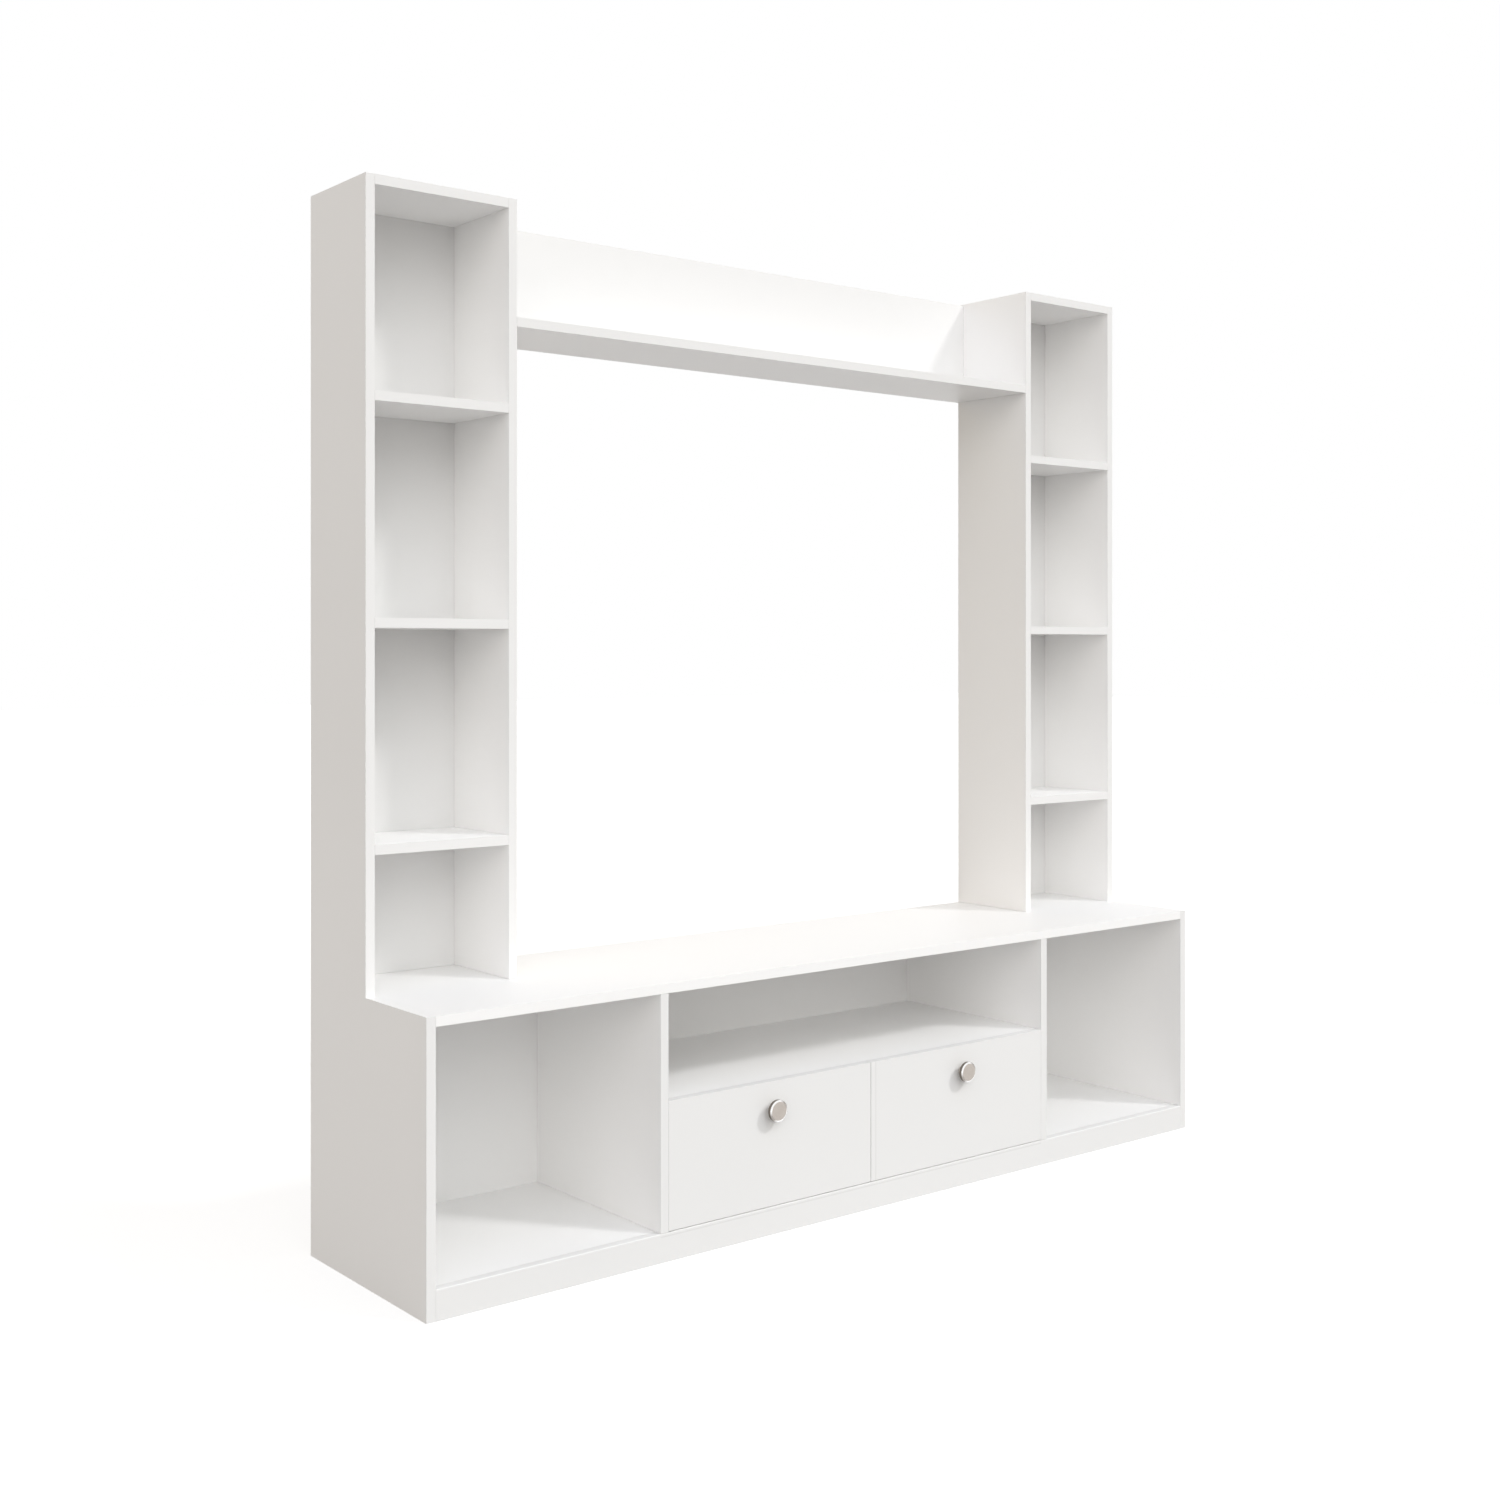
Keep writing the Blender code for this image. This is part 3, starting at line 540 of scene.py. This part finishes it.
def board_shaded_bands(node):
    """Where a board's front edges carry their band, which takes the greyer front white as painted shade:
    (rear plane, lowest height).
    """
    if node in ("left_side", "right_side"):
        return ((FRONT + BAND, 0.0), (TOWER_FRONT + BAND, BASE_HEIGHT))
    if node.endswith("_divider"):
        return ((FRONT + BAND, 0.0),)
    if abs(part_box(node)[0].y - TOWER_FRONT) < NEAR:
        return ((TOWER_FRONT + BAND, 0.0),)
    return ()


def board_faint_lines(node):
    """The faint lines along the front rail, the lowest of them a painted shadow where its foot meets the
    floor, and the one beside the gap between the drawer fronts.
    """
    if node == "plinth_front":
        return (("Z", FLOOR_TOP - FAINT_LINE_DROP, "X", -NICHE_HALF - BOARD, NICHE_HALF),
                # A painted shadow along the plinth's foot, where it meets the floor
                ("Z", 0.0, "X", -UNIT_HALF, UNIT_HALF))
    if node == "right_drawer_front":
        return (("X", FAINT_LINE_ASIDE, "Z", 0.0, NICHE_FLOOR),)
    return ()


def board_white_and_painted_light(node):
    """The white of a board's faces, with painted light: whiter for laid boards, greyer as painted shade for
    the fronts.
    """
    if node in SHADED_FRONT_BOARDS:
        return SHADED_FRONT_WHITE
    if node in LIT_LAID_BOARDS:
        return LIT_LAID_WHITE
    return FACE_WHITE


def finish_of(node, slot):
    """The material of a node, after its slot in the record."""
    if slot == "white_board":
        return melamine(f"{node}_melamine", board_white_and_painted_light(node), board_shaded_bands(node), board_seams(node),
                        board_faint_lines(node))
    if slot == "white_panel":
        # The back panels take greyer whites than the boards, the towers' greyest: painted shade at the backs
        # of the recesses.
        return panel_white(f"{node}_panel", SHADED_TOWER_PANEL_WHITE if "tower" in node else SHADED_BASE_PANEL_WHITE)
    # Nodes in the satin nickel slot take the side wall's nickel, painted dark as a reflection of shade.
    makers = {"zinc_steel": zinc, "white_plastic": moulded, "satin_nickel": nickel_painted_dark}
    return makers[slot](f"{node}_finish")


def dress_nodes():
    """Gives every node its own finish, and all but the metal ones a slightly softened arris."""
    for entry in frame["record"]["subparts"]:
        node, slot = entry["node"], entry["material_slot"]
        item = frame["nodes"][node]
        material = finish_of(node, slot)
        if not item.material_slots:
            item.data.materials.append(material)
        for place in item.material_slots:
            place.material = material
        if slot in ("white_board", "white_panel", "white_plastic"):
            bevel = item.modifiers.new("arris", "BEVEL")
            bevel.width = ARRIS if slot == "white_board" and node not in CRISP else CRISP_ARRIS
            bevel.segments = ARRIS_SEGMENTS
            bevel.limit_method = "ANGLE"
            bevel.angle_limit = math.radians(ARRIS_ANGLE)
            bevel.harden_normals = True


def seen_directly(nodes):
    """1 for what the camera, a mirror or a glass shows, 0 for light that falls on the unit."""
    rays = nodes.add("ShaderNodeLightPath").outputs
    shown = nodes.maths("MAXIMUM", rays["Is Camera Ray"], rays["Is Glossy Ray"])
    return nodes.maths("MAXIMUM", shown, rays["Is Transmission Ray"])


def add_floor():
    """A plain pale floor that keeps the unit's shadow and fades to white far from it."""
    mesh = bmesh.new()
    bmesh.ops.create_grid(mesh, x_segments=FLOOR_CELLS, y_segments=FLOOR_CELLS, size=FLOOR_HALF)
    data = bpy.data.meshes.new("floor")
    mesh.to_mesh(data)
    mesh.free()
    floor = bpy.data.objects.new("floor", data)
    bpy.context.scene.collection.objects.link(floor)
    nodes = Nodes("floor_finish")
    shown = seen_directly(nodes)
    grain = nodes.noise(FLOOR_GRAIN)
    base = nodes.blend(grain, colour(*FLOOR_TONE), colour(*[tone + FLOOR_SPAN for tone in FLOOR_TONE]))
    base = nodes.blend(shown, colour(*FLOOR_BOUNCE), base)
    diffuse = nodes.add("ShaderNodeBsdfDiffuse", {"Color": base}).outputs[0]
    distance = nodes.add("ShaderNodeVectorMath", {0: nodes.place}, operation="LENGTH").outputs["Value"]
    strength = nodes.maths("MULTIPLY", shown, nodes.ramp(distance, (FADE_FROM, FADE_TO), (FLOOR_LIFT, 1.0)))
    glow = nodes.add("ShaderNodeEmission", {"Color": colour(1.0, 1.0, 1.0), "Strength": strength}).outputs[0]
    total = nodes.add("ShaderNodeAddShader", {0: diffuse, 1: glow}).outputs[0]
    nodes.add("ShaderNodeOutputMaterial", {"Surface": total})
    data.materials.append(nodes.material)


def surround():
    """A surround that shows white, and lights the unit mostly from the front left and from above in front."""
    world = bpy.data.worlds.new("surround")
    bpy.context.scene.world = world
    nodes = Nodes("surround", world)
    shown = nodes.add("ShaderNodeBackground", {"Color": colour(1.0, 1.0, 1.0), "Strength": 1.0}).outputs[0]
    light = (0.0, 0.0, 0.0)
    for direction, sharpness, level in SKY_LOBES:
        lean = nodes.vectors("DOT_PRODUCT", nodes.place, Vector(direction).normalized())["Value"]
        lobe = nodes.maths("POWER", nodes.maths("MAXIMUM", lean, 0.0), sharpness)
        scaled = nodes.add("ShaderNodeVectorMath", {0: level, "Scale": lobe}, operation="SCALE").outputs[0]
        light = nodes.vectors("ADD", light, scaled)[0]
    fill = nodes.add("ShaderNodeBackground", {"Color": light, "Strength": 1.0}).outputs[0]
    mix = nodes.add("ShaderNodeMixShader", {0: seen_directly(nodes), 1: fill, 2: shown}).outputs[0]
    nodes.add("ShaderNodeOutputWorld", {"Surface": mix})


def key_light():
    """A large soft lamp far off, from the upper right in front."""
    data = bpy.data.lights.new("key", "SUN")
    data.angle = math.radians(KEY_SPREAD)
    data.energy = math.pi * KEY_LEVEL
    lamp = bpy.data.objects.new("key", data)
    lamp.rotation_euler = (-Vector(KEY_FROM)).to_track_quat("-Z", "Y").to_euler()
    lamp.visible_glossy = False
    bpy.context.scene.collection.objects.link(lamp)


def camera():
    """The camera at the photograph's viewing angle, kept level so that upright edges stay upright."""
    data = bpy.data.cameras.new("camera")
    data.sensor_width = CAMERA_SENSOR
    data.lens = CAMERA_LENS
    data.shift_x, data.shift_y = CAMERA_SHIFT
    data.clip_end = CAMERA_FAR
    item = bpy.data.objects.new("camera", data)
    item.location = CAMERA_PLACE
    item.rotation_euler = (math.radians(CAMERA_TILT), 0.0, math.radians(CAMERA_TURN))
    bpy.context.scene.collection.objects.link(item)
    bpy.context.scene.camera = item
    bpy.context.scene.view_settings.view_transform = "Standard"


dress_nodes()
for body in ("left_drawer", "right_drawer"):
    add_knob(body)
add_floor()
surround()
key_light()
camera()

bpy.context.view_layer.update()
